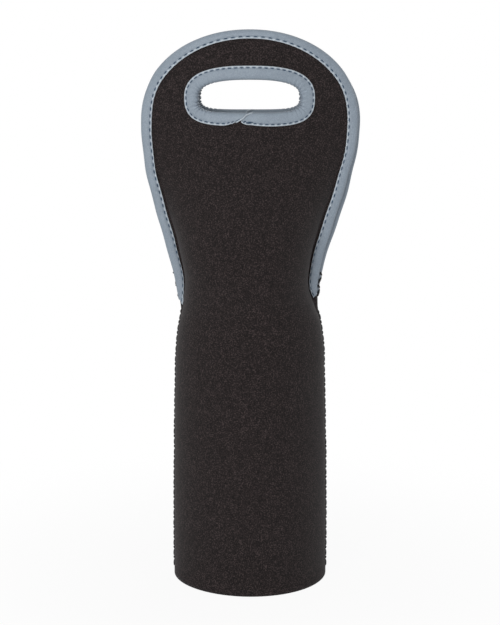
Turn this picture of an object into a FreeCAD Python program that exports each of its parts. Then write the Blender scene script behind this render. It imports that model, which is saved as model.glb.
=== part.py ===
"""Single-bottle carrier in foam neoprene.

Two keyhole-shaped panels make a round pouch below and a pair of handle flaps above. Tape binds the
edge of each flap and the rim of its grip opening, and thread closes the sides and the base.
Millimetres, +Z up, the front faces -Y, and the origin is on the floor under the middle of the base.
"""
import FreeCAD
import Part
import math
import os

Vec = FreeCAD.Vector

# Foam sheet, binding tape and thread
panel_wall = 3.5
tape_wall = 1.0
tape_play = 0.2             # between the tape and the foam edge that it wraps
tape_fold_bevel = 1.5       # outside of the fold
edge_tape_reach = 5.3       # from the foam's edge to the tape's sewn edge, on both faces
grip_tape_reach = 6.8
thread_wall = 0.35
thread_width = 0.55
thread_gap = 0.1            # between a stitch and what it lies on

# Pouch: widths and depths run to the middle of the wall, depths from the side edge of the panel
pouch_height = 130.0        # base to shoulder
neck_height = 35.0          # shoulder to waist
tack_height = 26.0          # waist to mouth, where the flaps begin
pouch_half_width = 45.0
shoulder_half_width = 43.7
waist_half_width = 39.5
pouch_depth = 41.0
waist_depth = 39.2
mouth_depth = 41.6
base_wall = 3.5
base_play = 0.15
base_bevel = 1.2            # around the lower rim
seam_gap = 0.2              # each panel's edge to the middle plane, where the sides are sewn

# Handle flaps
flare_height = 86.0         # mouth to the widest place
crown_height = 51.8         # widest place to the foam's top edge
flap_half_width = 62.8
flap_depth = 17.0
flare_start_rise = 7.0      # waist to where the sides begin to spread
flare_end_drop = 9.0        # widest place to where they stop spreading
crown_fullness = 2.1        # 2 is an ellipse, more is squarer
lip_gap = 0.2               # each bound edge to the middle plane
lip_run = 10.0              # height over which the sewn edges part to make room for the tape
tail_rise = 5.0             # waist to the lower end of the tape
mouth_split = 0.3           # between pouch and flap

# Grip opening, inside the tape
grip_half_width = 29.0
grip_rise = 10.2
grip_drop = 8.3
grip_below_top = 37.8       # foam's top edge to the level of the opening's widest place
grip_top_fullness = 2.6
grip_bottom_fullness = 4.0
grip_lap_gap = 0.4          # between the two ends of the grip tape
grip_lap_x = -1.6
grip_lap_lean = 8.3         # sideways run of the slanted ends across the tape

# Stitches
edge_stitch_pitch = 4.1
grip_stitch_pitch = 3.5
stitch_length = 2.0
stitch_inset = 0.9          # from the tape's sewn edge
seam_pitch = 3.0
seam_stitch_length = 4.6
seam_stitch_width = 0.9
seam_stitch_wall = 0.6
seam_slant = 1.2            # rise of one stitch from front to back
seam_end_margin = 6.0
seam_stitch_gap = 0.25      # wider than for other thread, because the stitch runs straight where the foam curves
tack_margin = 3.5
base_stitch_pitch = 8.0
base_stitch_reach = 2.4     # up the wall and in along the base

# Sampling of the curved forms
neck_section_count = 6
tack_section_count = 3
flare_section_count = 16
crown_section_count = 23
grip_section_count = 32
side_share = 0.25           # of the way along a flap's edge that runs up each side
walk_count = 400

overrun = 5.0               # cutters stand past what they cut by this much

# Levels
shoulder_z = pouch_height
waist_z = shoulder_z + neck_height
tail_z = waist_z + tail_rise
mouth_z = waist_z + tack_height
widest_z = mouth_z + flare_height
crown_z = widest_z + crown_height
grip_z = crown_z - grip_below_top

# Distances from the middle of the wall
panel_skin = panel_wall / 2
tape_inside = panel_skin + tape_play
tape_outside = tape_inside + tape_wall
tape_tip = tape_play + tape_wall

toward_front = Vec(0, -(pouch_half_width + overrun), 0)    # from the middle plane past every front piece


def ease(share):
    """Smooth step from 0 to 1."""
    share = min(max(share, 0.0), 1.0)
    return share * share * (3 - 2 * share)


def eased(low, high, share):
    return low + (high - low) * ease(share)


def half_width(z):
    if z <= shoulder_z:
        return pouch_half_width + (shoulder_half_width - pouch_half_width) * z / shoulder_z
    if z <= waist_z:
        return eased(shoulder_half_width, waist_half_width, (z - shoulder_z) / neck_height)
    start = waist_z + flare_start_rise
    return eased(waist_half_width, flap_half_width, (z - start) / (widest_z - flare_end_drop - start))


def bow_depth(z):
    if z <= waist_z:
        return eased(pouch_depth, waist_depth, (z - shoulder_z) / neck_height)
    if z <= mouth_z:
        return eased(waist_depth, mouth_depth, (z - waist_z) / tack_height)
    return eased(mouth_depth, flap_depth, (z - mouth_z) / flare_height)


class Bow:
    """Level section of the front panel: an arc between its two side edges, in the middle of the wall."""

    def __init__(self, z):
        self.z = z
        self.half = half_width(z)
        depth = bow_depth(z)
        self.angle = 2 * math.atan(depth / self.half)
        self.radius = self.half / math.sin(self.angle)
        # The cut edge turns from square across the wall at the mouth to straight back at the widest place.
        square_share = 1 - ease((z - mouth_z) / flare_height)
        lean = square_share * self.angle
        self.cut = Vec(math.sin(lean), -math.cos(lean), 0)
        self.skew = math.cos(self.angle - lean)
        sewn = seam_gap + panel_skin * math.cos(self.angle)
        bound = tape_tip * math.sin(self.angle) + tape_outside * math.cos(lean)
        bound = lip_gap + bound / self.skew
        edge_y = -eased(sewn, bound, (z - tail_z + lip_run) / lip_run)
        self.edge = Vec(self.half, edge_y, z)
        self.centre = Vec(0, edge_y + self.radius * math.cos(self.angle), z)
        self.along = Vec(math.cos(self.angle), math.sin(self.angle), 0)

    def round(self, angle, skin):
        """Point at an angle from straight ahead, at a distance from the middle of the wall."""
        reach = self.radius + skin
        return self.centre + Vec(reach * math.sin(angle), -reach * math.cos(angle), 0)

    def end(self, skin):
        """Point on the right cut edge, at a distance from the middle of the wall."""
        run = self.radius * self.skew
        shift = math.sqrt(run * run + 2 * self.radius * skin + skin * skin) - run
        return self.edge + self.cut * shift

    def place(self, inward, skin):
        """Point on the right side, in from the cut edge along the wall, or past it if inward is negative."""
        end = self.end(skin)
        if inward < 0:
            return end - self.along * (inward / self.skew)
        arm = end - self.centre
        angle = math.atan2(arm.x, -arm.y) - inward / self.skew / (self.radius + skin)
        return self.round(angle, skin)


def across(point):
    """The same place on the other side, left for right."""
    return Vec(-point.x, point.y, point.z)


def arc(start, middle, end):
    return Part.Arc(start, middle, end).toShape()


def line(start, end):
    return Part.LineSegment(start, end).toShape()


def strip_wire(z, trim=0):
    """Closed outline of the front panel's wall at one level, thinner on the outside by trim."""
    bow = Bow(z)
    ends = {}
    middles = {}
    fronts = {}
    out, back = panel_skin - trim, -panel_skin
    for skin in (out, back):
        ends[skin] = bow.end(skin)
        middles[skin] = bow.round(bow.angle / 2, skin)
        fronts[skin] = bow.round(0, skin)
    return Part.Wire([
        arc(ends[out], middles[out], fronts[out]),
        arc(fronts[out], across(middles[out]), across(ends[out])),
        line(across(ends[out]), across(ends[back])),
        arc(across(ends[back]), across(middles[back]), fronts[back]),
        arc(fronts[back], middles[back], ends[back]),
        line(ends[back], ends[out]),
    ])


def spaced(start, stop, count):
    """Evenly spaced values, both ends among them."""
    return [start + (stop - start) * index / (count - 1) for index in range(count)]


def loft(wires):
    return Part.makeLoft(wires, True, True)


def pouch_panel():
    levels = [base_bevel] + spaced(shoulder_z, waist_z, neck_section_count)
    levels += spaced(tail_z, mouth_z - mouth_split / 2, tack_section_count)
    return loft([strip_wire(0, base_bevel)] + [strip_wire(z) for z in levels])


def squircle(half, rise, fullness, turn):
    """Point of a rounded outline about its own middle, turn running from the right over the top."""
    power = 2 / fullness
    x = math.copysign(abs(math.cos(turn)) ** power, math.cos(turn)) * half
    z = math.copysign(abs(math.sin(turn)) ** power, math.sin(turn)) * rise
    return x, z


def crown_point(turn):
    x, z = squircle(flap_half_width, crown_height, crown_fullness, turn)
    return Vec(x, 0, widest_z + z)


def grip_point(turn):
    """Cut edge of the foam round the grip opening."""
    upper = math.sin(turn) >= 0
    rise = (grip_rise if upper else grip_drop) + tape_tip
    fullness = grip_top_fullness if upper else grip_bottom_fullness
    x, z = squircle(grip_half_width + tape_tip, rise, fullness, turn)
    return Vec(x, 0, grip_z + z)


def outline_face(stations, inward):
    """Flat face on the middle plane, bounded at a distance in from a row of stations."""
    corners = [station.point + station.inward * inward for station in stations]
    return Part.Face(Part.makePolygon(corners + corners[:1]))


def curved_block(face, skin):
    """Face carried forward to the flap's curve and kept within a distance of the middle of its wall."""
    bow = Bow(widest_z)
    block = face.extrude(toward_front)
    foot = bow.centre - Vec(0, 0, crown_height)
    outer = Part.makeCylinder(bow.radius + skin, crown_height * 2 + overrun, foot)
    inner = Part.makeCylinder(bow.radius - skin, crown_height * 2 + overrun, foot)
    return block.common(outer).cut(inner)


def crown():
    """Upper part of the flap: a curved slab with a rounded top and the grip opening."""
    rounded = outline_face([edge_station(share) for share in crown_shares()], 0)
    opening = outline_face(grip_stations(), 0)
    return curved_block(rounded.cut(opening), panel_skin)


def handle_flap():
    levels = spaced(mouth_z + mouth_split / 2, widest_z, flare_section_count)
    lower = loft([strip_wire(z) for z in levels])
    return lower.fuse(crown()).Solids[0]


class Station:
    """A place along a bound edge. Its section lies across the edge, in the plane of inward and depth."""

    def __init__(self, bow, point, inward):
        self.bow = bow
        self.point = point
        self.inward = inward

    def place(self, inward, skin):
        spot = self.point + self.inward * inward
        reach = self.bow.radius + skin
        return Vec(spot.x, self.bow.centre.y - math.sqrt(reach * reach - spot.x * spot.x), spot.z)


class Sided:
    """A level section of the bound edge, on the right or on the left."""

    def __init__(self, z, left):
        self.bow = Bow(z)
        self.left = left

    def place(self, inward, skin):
        spot = self.bow.place(inward, skin)
        return across(spot) if self.left else spot


def outline_station(point_at, turn, side):
    """Station on a rounded outline; side is 1 where the foam lies outside it and -1 where it lies inside."""
    step = math.pi / walk_count
    run = point_at(turn + step) - point_at(turn - step)
    inward = Vec(run.z, 0, -run.x).normalize() * side
    return Station(Bow(widest_z), point_at(turn), inward)


def edge_station(share):
    """Station along a flap's edge: up the left side, over the crown and down the right side."""
    low = mouth_z + mouth_split / 2
    if share < side_share:
        return Sided(low + (widest_z - low) * share / side_share, True)
    if share > 1 - side_share:
        return Sided(low + (widest_z - low) * (1 - share) / side_share, False)
    turn = math.pi * (1 - (share - side_share) / (1 - 2 * side_share))
    return outline_station(crown_point, turn, -1)


def grip_station(share):
    """Station round the grip opening, from below its middle to the right and over the top."""
    turn = share * 2 * math.pi - math.pi / 2
    return outline_station(grip_point, turn, 1)


def tape_wire(place, reach):
    """Section of the tape: a bevelled fold over the foam's edge with a leg on each face."""
    bevel = tape_fold_bevel
    outside = [
        place(reach, tape_outside),
        place(bevel - tape_tip, tape_outside),
        place(-tape_tip, tape_outside - bevel),
        place(-tape_tip, bevel - tape_outside),
        place(bevel - tape_tip, -tape_outside),
        place(reach, -tape_outside),
    ]
    inside = [
        place(reach, -tape_inside),
        place(-tape_play, -tape_inside),
        place(-tape_play, tape_inside),
        place(reach, tape_inside),
    ]
    return Part.makePolygon(outside + inside + outside[:1])


def walk(station_at, inward, start, stop):
    """Running length along a bound edge, as pairs of share and length."""
    track = []
    length = 0.0
    last = None
    for share in spaced(start, stop, walk_count):
        spot = station_at(share).place(inward, tape_outside)
        if last is not None:
            length += spot.distanceToPoint(last)
        track.append((share, length))
        last = spot
    return track


def share_at(track, length):
    """The share along an edge where its running length reaches a value."""
    for (share_a, length_a), (share_b, length_b) in zip(track, track[1:]):
        if length <= length_b:
            return share_a + (share_b - share_a) * (length - length_a) / (length_b - length_a)
    return track[-1][0]


def even_shares(station_at, start, stop, count):
    track = walk(station_at, 0, start, stop)
    return [share_at(track, length) for length in spaced(0, track[-1][1], count)]


def crown_shares():
    return even_shares(edge_station, side_share, 1 - side_share, crown_section_count)


def grip_stations():
    """Stations round the grip opening, evenly spaced along the tape's sewn edge."""
    track = walk(grip_station, grip_tape_reach, 0, 1)
    lengths = spaced(0, track[-1][1], grip_section_count + 1)[:-1]
    return [grip_station(share_at(track, length)) for length in lengths]


def edge_binding():
    sides = spaced(0, side_share, flare_section_count)[:-1]
    shares = sides + crown_shares() + [1 - share for share in reversed(sides)]
    return loft([tape_wire(edge_station(share).place, edge_tape_reach) for share in shares])


def grip_lap():
    """Cutter for the slanted meeting line of the grip tape's two ends."""
    top = grip_z - grip_drop + overrun
    bottom = top - tape_tip - grip_tape_reach - 2 * overrun
    run = grip_lap_lean * (top - bottom) / (tape_tip + grip_tape_reach)
    corner = Vec(grip_lap_x - (run + grip_lap_gap) / 2, 0, bottom)
    slant = Vec(run, 0, top - bottom)
    gap = Vec(grip_lap_gap, 0, 0)
    corners = [corner, corner + gap, corner + gap + slant, corner + slant, corner]
    return Part.Face(Part.makePolygon(corners)).extrude(toward_front)


def grip_binding():
    """Tape folded over the rim of the opening, its two ends meeting below the middle."""
    stations = grip_stations()
    sewn = outline_face(stations, grip_tape_reach)
    tape = curved_block(sewn.cut(outline_face(stations, -tape_tip)), tape_outside)
    beyond = outline_face(stations, grip_tape_reach + overrun)
    foam = curved_block(beyond.cut(outline_face(stations, -tape_play)), tape_inside)
    return Part.makeCompound(tape.cut(foam).cut(grip_lap()).Solids)


def binding_tails():
    """The two lower ends of the tape, held down on the pouch at the sides."""
    tails = []
    for left in (True, False):
        levels = spaced(tail_z, mouth_z - mouth_split / 2, tack_section_count)
        tails.append(loft([tape_wire(Sided(z, left).place, edge_tape_reach) for z in levels]))
    return Part.makeCompound(tails)


def stitch(start, end, outward, width, wall):
    """Thread from start to end with its flat side on them and a ridge outward."""
    ahead = end - start
    beside = outward.cross(ahead).normalize() * (width / 2)
    ridge = start + ahead.cross(beside).normalize() * wall
    section = Part.makePolygon([start - beside, start + beside, ridge, start - beside])
    return Part.Face(section).extrude(ahead)


def stitch_row(station_at, reach, pitch):
    """Even stitches on the front face of the tape, beside its sewn edge."""
    inward = reach - stitch_inset
    track = walk(station_at, inward, 0, 1)
    count = int(track[-1][1] / pitch)
    step = track[-1][1] / count
    stitches = []
    for index in range(count):
        middle = (index + 0.5) * step
        ends = []
        for length in (middle - stitch_length / 2, middle + stitch_length / 2):
            ends.append(station_at(share_at(track, length)).place(inward, tape_outside + thread_gap))
        here = station_at(share_at(track, middle))
        outward = here.place(inward, tape_outside + tape_wall) - here.place(inward, tape_outside)
        stitches.append(stitch(ends[0], ends[1], outward, thread_width, thread_wall))
    return Part.makeCompound(stitches)


def side_stitches(low, high, reach_at, left):
    """Slanted stitches across the meeting edges of front and back, reach_at giving their distance out."""
    count = int((high - low) / seam_pitch)
    stitches = []
    for index in range(count):
        z = low + (index + 0.5) * (high - low) / count
        x = reach_at(z) + seam_stitch_gap
        half = seam_stitch_length / 2
        ends = [Vec(x, -half, z - seam_slant / 2), Vec(x, half, z + seam_slant / 2)]
        outward = Vec(1, 0, 0)
        if left:
            ends = [across(end) for end in ends]
            outward = across(outward)
        stitches.append(stitch(ends[0], ends[1], outward, seam_stitch_width, seam_stitch_wall))
    return Part.makeCompound(stitches)


def foam_reach(z):
    """How far out the foam stands beside the side seam, over the height of one stitch."""
    span = (seam_slant + seam_stitch_width) / 2
    return max(Bow(level).end(panel_skin).x for level in (max(z - span, 0), z, z + span))


def tape_reach_out(z):
    """How far out the tape stands beside the tack, over the height of one stitch."""
    span = (seam_slant + seam_stitch_width) / 2
    return max(Bow(level).round(math.pi / 2, tape_outside).x for level in (z - span, z, z + span))


def side_seam(left):
    return side_stitches(seam_end_margin, tail_z - lip_run / 2, foam_reach, left)


def mouth_tack(left):
    low = tail_z + tack_margin
    return side_stitches(low, mouth_z - tack_margin, tape_reach_out, left)


def base_bow():
    """Radius, centre and half angle of the arc that bounds the front half of the base."""
    bow = Bow(0)
    radius = bow.radius - panel_skin - base_play
    return radius, bow.centre, math.acos(bow.centre.y / radius)


def base_disc():
    radius, centre, angle = base_bow()
    side = Vec(radius * math.sin(angle), 0, 0)
    front = centre - Vec(0, radius, 0)
    back = Vec(0, -front.y, 0)
    rim = Part.Wire([arc(side, front, across(side)), arc(across(side), back, side)])
    return Part.Face(rim).extrude(Vec(0, 0, base_wall))


def base_seam():
    """Stitches in the inside corner, from the base up the wall."""
    radius, centre, angle = base_bow()
    inset = thread_gap + thread_wall
    count = int(2 * radius * angle / base_stitch_pitch)
    stitches = []
    for index in range(count):
        turn = -angle + (index + 0.5) * 2 * angle / count
        ahead = Vec(math.sin(turn), -math.cos(turn), 0)
        foot = centre + ahead * (radius - base_stitch_reach) + Vec(0, 0, base_wall + inset)
        head = centre + ahead * (radius - inset) + Vec(0, 0, base_wall + base_stitch_reach)
        outward = Vec(0, 0, 1) - ahead
        stitches.append(stitch(foot, head, outward, thread_width, thread_wall))
    return Part.makeCompound(stitches + [turned_back(piece) for piece in stitches])


def turned_back(shape):
    """The back panel's copy of a front piece."""
    return shape.mirror(Vec(0, 0, 0), Vec(0, 1, 0))


def main():
    os.makedirs("parts", exist_ok=True)
    paired = {
        "pouch_panel": pouch_panel(),
        "handle_flap": handle_flap(),
        "edge_binding": edge_binding(),
        "grip_binding": grip_binding(),
        "binding_tails": binding_tails(),
        "edge_stitching": stitch_row(edge_station, edge_tape_reach, edge_stitch_pitch),
        "grip_stitching": stitch_row(grip_station, grip_tape_reach, grip_stitch_pitch),
    }
    parts = {}
    for name, shape in paired.items():
        parts["front_" + name] = shape
        parts["back_" + name] = turned_back(shape)
    for side, left in (("left", True), ("right", False)):
        parts[side + "_side_seam"] = side_seam(left)
        parts[side + "_mouth_tack"] = mouth_tack(left)
    parts["base_disc"] = base_disc()
    parts["base_seam"] = base_seam()
    for name, shape in parts.items():
        shape.exportStep("parts/" + name + ".step")


main()
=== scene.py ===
"""Dressed model of a single-bottle carrier in foam neoprene.

Two keyhole-shaped foam panels make a round pouch and a pair of handle flaps. Tape binds the flaps' edges
and the rims of their grip openings. Metres, +Z up, the front faces -Y.
"""

import logging
import math
from bisect import bisect
from dataclasses import dataclass, field
from enum import Enum
from functools import lru_cache
from typing import Callable, Iterable

import bmesh
import bpy
from bmesh.types import BMesh, BMVert
from bpy.types import Material, Node, NodeSocket, Object, World
from mathutils import Matrix, Vector, noise

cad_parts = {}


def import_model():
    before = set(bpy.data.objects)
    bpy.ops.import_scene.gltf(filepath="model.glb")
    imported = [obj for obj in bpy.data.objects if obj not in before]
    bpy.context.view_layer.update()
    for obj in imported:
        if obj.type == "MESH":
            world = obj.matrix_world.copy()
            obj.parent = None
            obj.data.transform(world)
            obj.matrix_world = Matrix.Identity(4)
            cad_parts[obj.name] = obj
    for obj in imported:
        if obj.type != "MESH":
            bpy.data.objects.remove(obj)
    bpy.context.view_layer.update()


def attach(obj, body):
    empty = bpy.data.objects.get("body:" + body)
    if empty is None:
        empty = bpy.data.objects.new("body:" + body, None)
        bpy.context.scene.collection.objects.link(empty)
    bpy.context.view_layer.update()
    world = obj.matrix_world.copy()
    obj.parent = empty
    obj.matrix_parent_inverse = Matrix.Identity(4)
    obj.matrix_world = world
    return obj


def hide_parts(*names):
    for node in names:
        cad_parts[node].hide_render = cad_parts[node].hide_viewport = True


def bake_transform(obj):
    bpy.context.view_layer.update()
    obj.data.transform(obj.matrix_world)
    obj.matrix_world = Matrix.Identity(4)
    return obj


MM = 0.001
EDGE_FADE = 4
STITCH_SIDES = 6
STITCH_RINGS = 5
# Mesh layer that holds each point's distance from the painted highlight on the tape's hems.
HIGHLIGHT_LAYER = "highlight_distance"
POUCH = "pouch"
LOG = logging.getLogger("carrier")

Place = Callable[[float, float], Vector]
"""Gives the point at a distance in from a bound edge and a distance out from the middle of the wall."""

Corner = tuple[BMVert, int, int]
"""Corner of a grid with its column and row."""


def clamp(share: float) -> float:
    """Share held between 0 and 1."""
    return min(max(share, 0.0), 1.0)


def ease(share: float) -> float:
    """Smooth step from 0 to 1."""
    share = clamp(share)
    return share * share * (3 - 2 * share)


def between(low: float, high: float, share: float) -> float:
    """Value a share of the way from low to high."""
    return low + (high - low) * share


def eased(low: float, high: float, share: float) -> float:
    """Value that leaves low and reaches high smoothly."""
    return between(low, high, ease(share))


def bell(offset: float) -> float:
    """Bell curve, 1 in its middle."""
    return math.exp(-(offset ** 2))


def spaced(start: float, stop: float, count: int) -> list[float]:
    """Evenly spaced values, both ends among them."""
    return [between(start, stop, index / (count - 1)) for index in range(count)]


def off_edges(share: float) -> float:
    """Weight that is full over most of a panel's width and none at its edges, which lie at -1 and 1."""
    return 1 - min(abs(share), 1.0) ** EDGE_FADE


def rounded(half: float, rise: float, fullness: float, turn: float) -> Vector:
    """Point of a rounded outline.

    Args:
        half: half width.
        rise: height from the middle.
        fullness: 2 for an ellipse, more for a squarer outline.
        turn: direction, from the right over the top.

    Returns:
        Point in the plane of x and z, about the outline's own middle.
    """
    power = 2 / fullness
    x = math.copysign(abs(math.cos(turn)) ** power, math.cos(turn)) * half
    z = math.copysign(abs(math.sin(turn)) ** power, math.sin(turn)) * rise
    return Vector((x, 0, z))


def area_under(outline: list[Vector]) -> float:
    """Area between level 0 and an outline that runs to the left, or inside a closed one."""
    return sum((a.x - b.x) * (a.z + b.z) / 2 for a, b in zip(outline, outline[1:]))


class Labelled(Enum):
    """Option whose name begins the names of its pieces."""

    @property
    def label(self) -> str:
        """First word of the pieces' names."""
        return self.name.lower()


class Side(Labelled):
    """The carrier's two alike halves."""

    FRONT = -1
    BACK = 1

    @property
    def flap_body(self) -> str:
        """Body that the half's flap moves with."""
        return self.label + "_flap"


class Hand(Labelled):
    """The carrier's left and right, as seen from the front."""

    LEFT = -1
    RIGHT = 1


@dataclass(frozen=True)
class CarrierForm:
    """Sizes of the foam, to the middle of its wall, and of what is sewn to it."""

    wall: float = 3.5 * MM
    tape_tip: float = 1.2 * MM
    edge_reach: float = 5.3 * MM
    grip_reach: float = 6.8 * MM
    pouch_height: float = 130.0 * MM
    neck_height: float = 35.0 * MM
    tack_height: float = 26.0 * MM
    pouch_half: float = 45.0 * MM
    shoulder_half: float = 43.05 * MM
    waist_half: float = 39.2 * MM
    pouch_depth: float = 41.0 * MM
    waist_depth: float = 39.2 * MM
    mouth_depth: float = 41.6 * MM
    foot_bulge: float = 1.2 * MM
    foot_height: float = 9.0 * MM
    flare_height: float = 86.0 * MM
    crown_height: float = 51.3 * MM
    flap_half: float = 62.1 * MM
    flare_power: float = 0.92
    flap_depth: float = 17.0 * MM
    crown_fullness: float = 2.1
    fold_fullness: float = 2.8
    lip_gap: float = 0.1 * MM
    lip_rise: float = 1.5 * MM
    lip_run: float = 6.0 * MM
    lip_start: float = 149.0 * MM
    lip_full: float = 188.0 * MM
    lip_radius: float = 4.0 * MM
    crown_lip_radius: float = 14.0 * MM
    fin_foot: float = 3.3 * MM
    fin_length: float = 5.4 * MM
    fin_crown: float = 2.5 * MM
    fin_run: float = 45.0 * MM
    fin_angle: float = math.radians(8.0)
    tail_rise: float = 5.0 * MM
    grip_half: float = 29.0 * MM
    grip_rise: float = 10.2 * MM
    grip_drop: float = 8.3 * MM
    grip_below_top: float = 37.3 * MM
    grip_top_fullness: float = 2.6
    grip_bottom_fullness: float = 4.0
    relief_height: float = 0.45 * MM
    relief_length: float = 34.0 * MM
    sway_reach: float = -2.35 * MM
    sway_z: float = 204.0 * MM
    sway_spread: float = 50.0 * MM
    sway_start: float = 155.0 * MM
    sway_full: float = 178.0 * MM
    ripple_reach: float = 0.5 * MM
    ripple_length: float = 17.0 * MM
    ripple_start: float = 12.0 * MM

    @property
    def skin(self) -> float:
        """Distance from the middle of the wall to its faces."""
        return self.wall / 2

    @property
    def tape_outside(self) -> float:
        """Distance from the middle of the wall to the tape's faces."""
        return self.skin + self.tape_tip

    @property
    def waist_z(self) -> float:
        """Level of the waist, where the side seams end."""
        return self.pouch_height + self.neck_height

    @property
    def tail_z(self) -> float:
        """Level of the tape's lower ends."""
        return self.waist_z + self.tail_rise

    @property
    def mouth_z(self) -> float:
        """Level of the pouch's mouth, where the flaps begin."""
        return self.waist_z + self.tack_height

    @property
    def widest_z(self) -> float:
        """Level of the flaps' widest place."""
        return self.mouth_z + self.flare_height

    @property
    def grip_z(self) -> float:
        """Level of the grip opening's widest place."""
        return self.widest_z + self.crown_height - self.grip_below_top

    def half_width(self, z: float) -> float:
        """Half the carrier's width.

        Args:
            z: level.

        Returns:
            Distance from the middle to the panels' side edges.
        """
        pouch = between(self.pouch_half, self.shoulder_half, clamp(z / self.pouch_height) ** 2)
        neck = between(pouch, self.waist_half, clamp((z - self.pouch_height) / self.neck_height) ** 2)
        flare = ease((z - self.waist_z) / (self.widest_z - self.waist_z)) ** self.flare_power
        return between(neck, self.flap_half, flare)

    def bow_depth(self, z: float) -> float:
        """Depth of a panel's bow.

        Args:
            z: level.

        Returns:
            How far the panel stands forward of its side edges.
        """
        neck = eased(self.pouch_depth, self.waist_depth, (z - self.pouch_height) / self.neck_height)
        mouth = eased(neck, self.mouth_depth, (z - self.waist_z) / self.tack_height)
        return eased(mouth, self.flap_depth, (z - self.mouth_z) / self.flare_height)

    def fold_stand(self, slant: float) -> float:
        """How far a tape's fold stands out inward.

        Args:
            slant: angle of the edge that the tape wraps.

        Returns:
            Distance from the edge.
        """
        power = self.fold_fullness / (self.fold_fullness - 1)
        stretch = (math.cos(slant) ** power + math.sin(slant) ** power) ** (1 / power)
        return self.tape_outside * stretch - self.skin * math.sin(slant)

    def foot_swell(self, share: float, z: float) -> float:
        """How far the wall stands out over the base, share being -1 and 1 at the panel's edges."""
        return self.foot_bulge * (1 - ease(z / self.foot_height)) * off_edges(share)

    def sway(self, z: float) -> float:
        """How far the soft front panel leans to the right at a level."""
        lean = self.sway_reach * bell((z - self.sway_z) / self.sway_spread)
        return lean * ease((z - self.sway_start) / (self.sway_full - self.sway_start))

    def ripple(self, z: float) -> float:
        """Small waves of the sewn sides, the same for both panels."""
        wave = noise.noise(Vector((0.0, 0.0, z / self.ripple_length)))
        return self.ripple_reach * wave * ease(z / self.ripple_start)

    def relief(self, share: float, z: float) -> float:
        """Gentle unevenness of the foam, share being -1 and 1 at the panel's edges."""
        spot = Vector((share * self.pouch_half / self.relief_length, z / self.relief_length, 0.0))
        return self.relief_height * noise.noise(spot) * off_edges(share)

    def crown_point(self, turn: float, trim: float = 0.0) -> Vector:
        """Point of the flap's rounded top in a direction, a trim inside its edge."""
        half, rise = self.flap_half - trim, self.crown_height - trim
        return rounded(half, rise, self.crown_fullness, turn) + Vector((0, 0, self.widest_z))

    def rim_point(self, turn: float) -> Vector:
        """Point of the grip opening's rim.

        Args:
            turn: direction from the opening's middle, from the right over the top.

        Returns:
            Point on the foam's cut edge, in the plane of x and z.
        """
        rise, fullness = self.grip_drop, self.grip_bottom_fullness
        if math.sin(turn) >= 0:
            rise, fullness = self.grip_rise, self.grip_top_fullness
        tip = self.tape_tip
        return rounded(self.grip_half + tip, rise + tip, fullness, turn) + Vector((0, 0, self.grip_z))


class Bow:
    """Level section of the front panel: an arc that turns outward into a lip at each bound edge."""

    def __init__(self, form: CarrierForm, z: float) -> None:
        """Work out the arc and its lips.

        Args:
            form: sizes of the carrier.
            z: level of the section.
        """
        self.form = form
        self.z = z
        half, depth = form.half_width(z), form.bow_depth(z)
        lip = ease((z - form.lip_start) / (form.lip_full - form.lip_start))
        self.fin_turn = between(2 * math.atan(depth / half), form.fin_angle, lip)
        self.sine, self.cosine = math.sin(self.fin_turn), math.cos(self.fin_turn)
        lower = eased(form.fin_foot, form.fin_length, (z - form.tail_z) / form.fin_run)
        upper = 2 * (z - form.mouth_z) / form.flare_height - 1
        self.fin = lip * eased(lower, form.fin_crown, upper)
        self.lip_radius = eased(form.lip_radius, form.crown_lip_radius, upper)
        root_x = half + self.lip_radius * self.sine - self.fin * self.cosine
        root_y = depth + self.lip_radius * (1 - self.cosine) - self.fin * self.sine
        self.turn = 2 * math.atan2(root_y, root_x)
        self.radius = root_x / math.sin(self.turn) - self.lip_radius
        sewn = form.skin * self.cosine
        bound = form.lip_gap + form.fold_stand(self.fin_turn)
        edge_y = -eased(sewn, bound, (z - form.tail_z - form.lip_rise) / form.lip_run)
        self.edge = Vector((half, edge_y, z))
        self.centre_y = edge_y - depth + self.radius
        self.lip_end = self.fin + self.lip_radius * (self.turn - self.fin_turn)
        self.length = self.lip_end + self.radius * self.turn

    def at(self, reach: float, skin: float) -> Vector:
        """Point on the section.

        Args:
            reach: distance along the wall from the middle of the panel, to the right.
            skin: distance out from the middle of the wall.

        Returns:
            The point.
        """
        form = self.form
        inward = self.length - abs(reach)
        if inward >= self.lip_end:
            turn = abs(reach) / self.radius
            x, y = self.radius * math.sin(turn), self.centre_y - self.radius * math.cos(turn)
        else:
            run = min(inward, self.fin)
            turn = self.fin_turn + (inward - run) / self.lip_radius
            x = self.edge.x - run * self.cosine - self.lip_radius * (math.sin(turn) - self.sine)
            y = self.edge.y - run * self.sine - self.lip_radius * (self.cosine - math.cos(turn))
        skin += form.relief(reach / self.length, self.z)
        x += skin * math.sin(turn)
        y -= skin * math.cos(turn)
        return Vector((math.copysign(x, reach) + form.sway(self.z) + form.ripple(self.z), y, self.z))

    def reach_at(self, x: float) -> float:
        """Distance along the wall.

        Args:
            x: distance across from the middle of the panel, to the right.

        Returns:
            Distance along the wall from the middle of the panel, to the right.
        """
        gap = self.edge.x - abs(x)
        straight = self.fin * self.cosine
        if gap <= straight:
            reach = self.length - gap / self.cosine
        elif abs(x) >= self.radius * math.sin(self.turn):
            sine = min((gap - straight) / self.lip_radius + self.sine, 1.0)
            reach = self.length - self.fin - self.lip_radius * (math.asin(sine) - self.fin_turn)
        else:
            reach = self.radius * math.asin(abs(x) / self.radius)
        return math.copysign(reach, x)


@lru_cache(maxsize=None)
def bow_at(form: CarrierForm, z: float) -> Bow:
    """Section of the panel at a level up to its widest place."""
    return Bow(form, z)


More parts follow.
